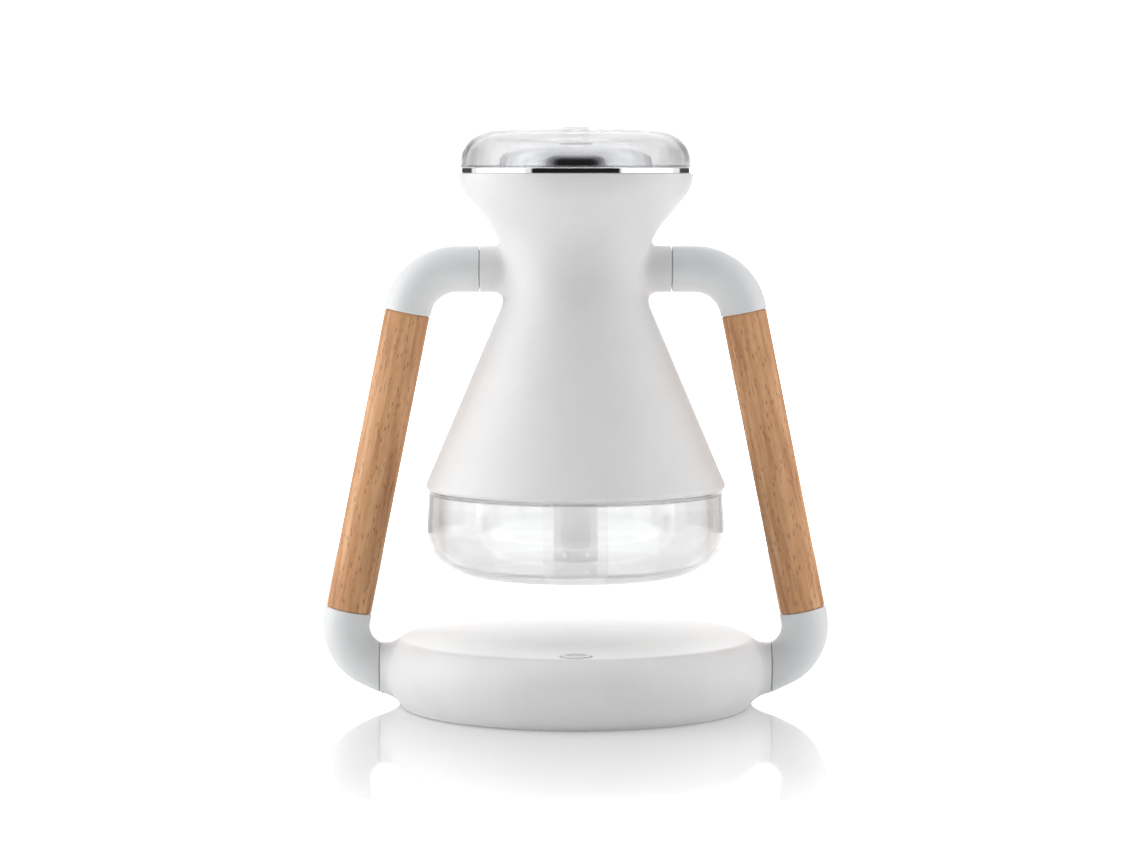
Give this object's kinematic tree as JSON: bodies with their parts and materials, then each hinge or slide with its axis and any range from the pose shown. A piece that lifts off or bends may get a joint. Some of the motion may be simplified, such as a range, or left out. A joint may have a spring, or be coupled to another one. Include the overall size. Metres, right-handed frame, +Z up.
{
  "type": "cool mist humidifier",
  "caption": "Tabletop cool mist humidifier: a white hourglass body with a clear tank, carried by two arms with wooden grips on a round weighted base.",
  "frame": {"origin": "on the floor, under the body's vertical axis", "axes": "+Z up, front with the button towards -Y, arms along X"},
  "size_m": [0.18, 0.1339, 0.2051],
  "materials": {
    "white_abs": "satin moulded",
    "elbow_abs": "satin moulded",
    "inner_abs": "moulded",
    "foot_rubber": "matte",
    "screw_steel": "zinc plated",
    "ballast_steel": "rolled",
    "socket_steel": "nickel plated",
    "core_steel": "drawn",
    "spring_steel": "wire",
    "circuit_board": "solder mask",
    "board_white": "white solder mask",
    "component_black": "moulded",
    "ribbon_white": "flat cable",
    "lead_pvc": "flexible PVC",
    "button_grey": "satin moulded",
    "beech": "oiled",
    "wick_tube_pp": "moulded",
    "wick_cotton": "pressed fibre",
    "piezo_brass": "polished",
    "silicone": "translucent",
    "led_lens": "clear lens",
    "reflector_chrome": "vacuum plated",
    "trim_chrome": "plated",
    "tank_clear": "clear moulded plastic",
    "dome_clear": "clear moulded plastic"
  },
  "bodies": {
    "stand": {"base_housing": "white_abs", "base_cover": "white_abs", "base_feet": "foot_rubber", "base_screws": "screw_steel", "ballast_plate": "ballast_steel", "control_board": "circuit_board", "board_components": "component_black", "board_screws": "screw_steel", "usb_socket": "socket_steel", "button_board": "circuit_board", "button_switch": "component_black", "button_ribbon": "ribbon_white", "lower_elbow_left": "elbow_abs", "lower_elbow_right": "elbow_abs", "grip_left": "beech", "grip_right": "beech", "core_tube_left": "core_steel", "core_tube_right": "core_steel", "upper_elbow_left": "elbow_abs", "upper_elbow_right": "elbow_abs", "mist_lead": "lead_pvc", "lamp_lead": "lead_pvc", "body_shell": "white_abs", "tank_plate": "inner_abs", "plate_screws": "screw_steel", "mist_holder": "inner_abs", "holder_screws": "screw_steel", "wick_tube": "wick_tube_pp", "wick_foot": "wick_tube_pp", "wick_spring": "spring_steel", "wick": "wick_cotton", "piezo_disc": "piezo_brass", "piezo_seal": "silicone", "piezo_clamp": "inner_abs", "mist_pipe": "inner_abs", "lamp_deck": "inner_abs", "deck_screws": "screw_steel", "lamp_board": "board_white", "lamp_leds": "led_lens", "reflector": "reflector_chrome", "trim_ring": "trim_chrome"},
    "seal": {"tank_seal": "silicone"},
    "tank": {"water_tank": "tank_clear"},
    "dome": {"dome_cover": "dome_clear"},
    "button": {"button_cap": "button_grey", "switch_plunger": "component_black"}
  },
  "joints": [
    {"name": "tank_turn", "type": "hinge", "parent": "stand", "child": "seal", "pos_m": [0, 0, 0.083], "axis": [0, 0, 1], "range_deg": [0, 22]},
    {"name": "tank_drop", "type": "slide", "parent": "seal", "child": "tank", "axis": [0, 0, -1], "range_m": [0, 0.0215]},
    {"name": "dome_lift", "type": "slide", "parent": "stand", "child": "dome", "axis": [0, 0, 1], "range_m": [0, 0.03]},
    {"name": "button_press", "type": "slide", "parent": "stand", "child": "button", "axis": [0, 0, -1], "range_m": [0, 0.0006], "stiffness_N_per_m": 600}
  ]
}
